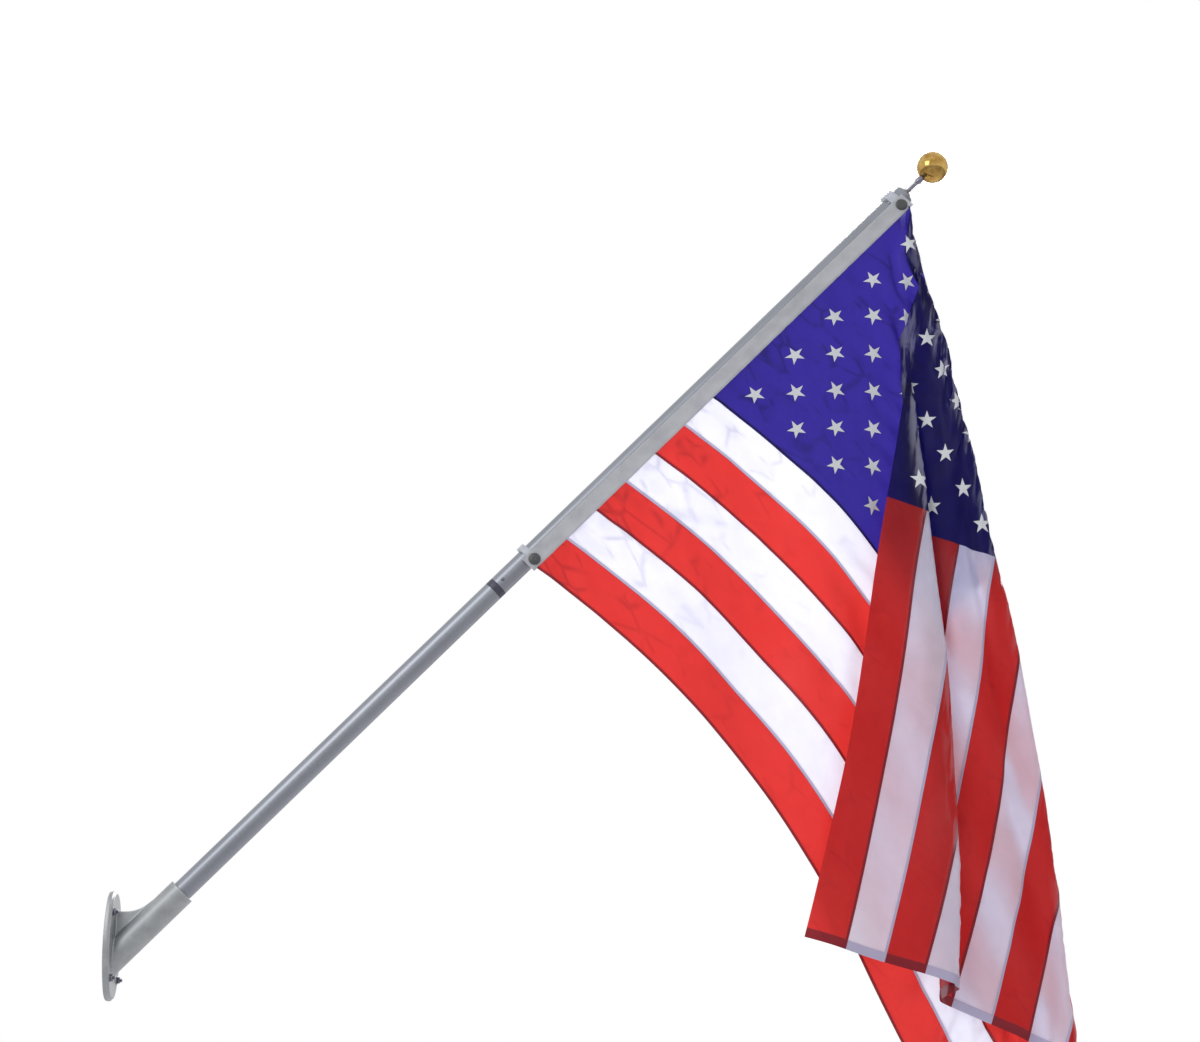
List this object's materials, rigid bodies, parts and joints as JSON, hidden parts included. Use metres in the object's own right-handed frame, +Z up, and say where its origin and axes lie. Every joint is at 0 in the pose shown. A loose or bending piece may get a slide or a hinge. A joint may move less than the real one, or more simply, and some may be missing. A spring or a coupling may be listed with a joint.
{
  "type": "wall-mounted flagpole",
  "caption": "Wall-mounted flagpole: an oval cast bracket holds a slanting pole whose upper part spins, with a gold ball on top and a striped cloth flag hanging in folds.",
  "frame": {"origin": "centre of the bracket plate's back face, on the wall", "axes": "+X points away from the wall, +Z is up; the pole lies in the XZ plane and slants up and out"},
  "size_m": [2.0787, 0.1559, 2.3364],
  "materials": {
    "cast_aluminium": "sand-cast, tumbled, satin",
    "pole_aluminium": "satin anodised tube",
    "black_nylon": "moulded, matt",
    "ring_plastic": "pale moulded plastic",
    "button_plastic": "dark moulded, semi-matt",
    "header_canvas": "woven header tape",
    "gold_ball": "mirror gold anodised",
    "red_cloth": "woven nylon",
    "white_cloth": "woven nylon",
    "blue_cloth": "woven nylon with sewn stars"
  },
  "bodies": {
    "base": {"wall_bracket": "cast_aluminium", "lower_pole": "pole_aluminium", "spindle": "pole_aluminium"},
    "spinner": {"joint_bushing": "black_nylon", "upper_pole": "pole_aluminium", "lower_ring": "ring_plastic", "upper_ring": "ring_plastic", "lower_button": "button_plastic", "upper_button": "button_plastic", "header_tape": "header_canvas", "end_cap": "pole_aluminium", "finial_stem": "pole_aluminium", "lock_sleeve": "pole_aluminium", "finial_ball": "gold_ball", "canton": "blue_cloth", "stripe_01": "red_cloth", "stripe_02": "white_cloth", "stripe_03": "red_cloth", "stripe_04": "white_cloth", "stripe_05": "red_cloth", "stripe_06": "white_cloth", "stripe_07": "red_cloth", "stripe_08": "white_cloth", "stripe_09": "red_cloth", "stripe_10": "white_cloth", "stripe_11": "red_cloth", "stripe_12": "white_cloth", "stripe_13": "red_cloth"}
  },
  "joints": [
    {"name": "upper_pole_spin", "type": "hinge", "parent": "base", "child": "spinner", "pos_m": [0.8201, 0, 0.7841], "axis": [0.7071, 0, 0.7071], "continuous": true}
  ]
}
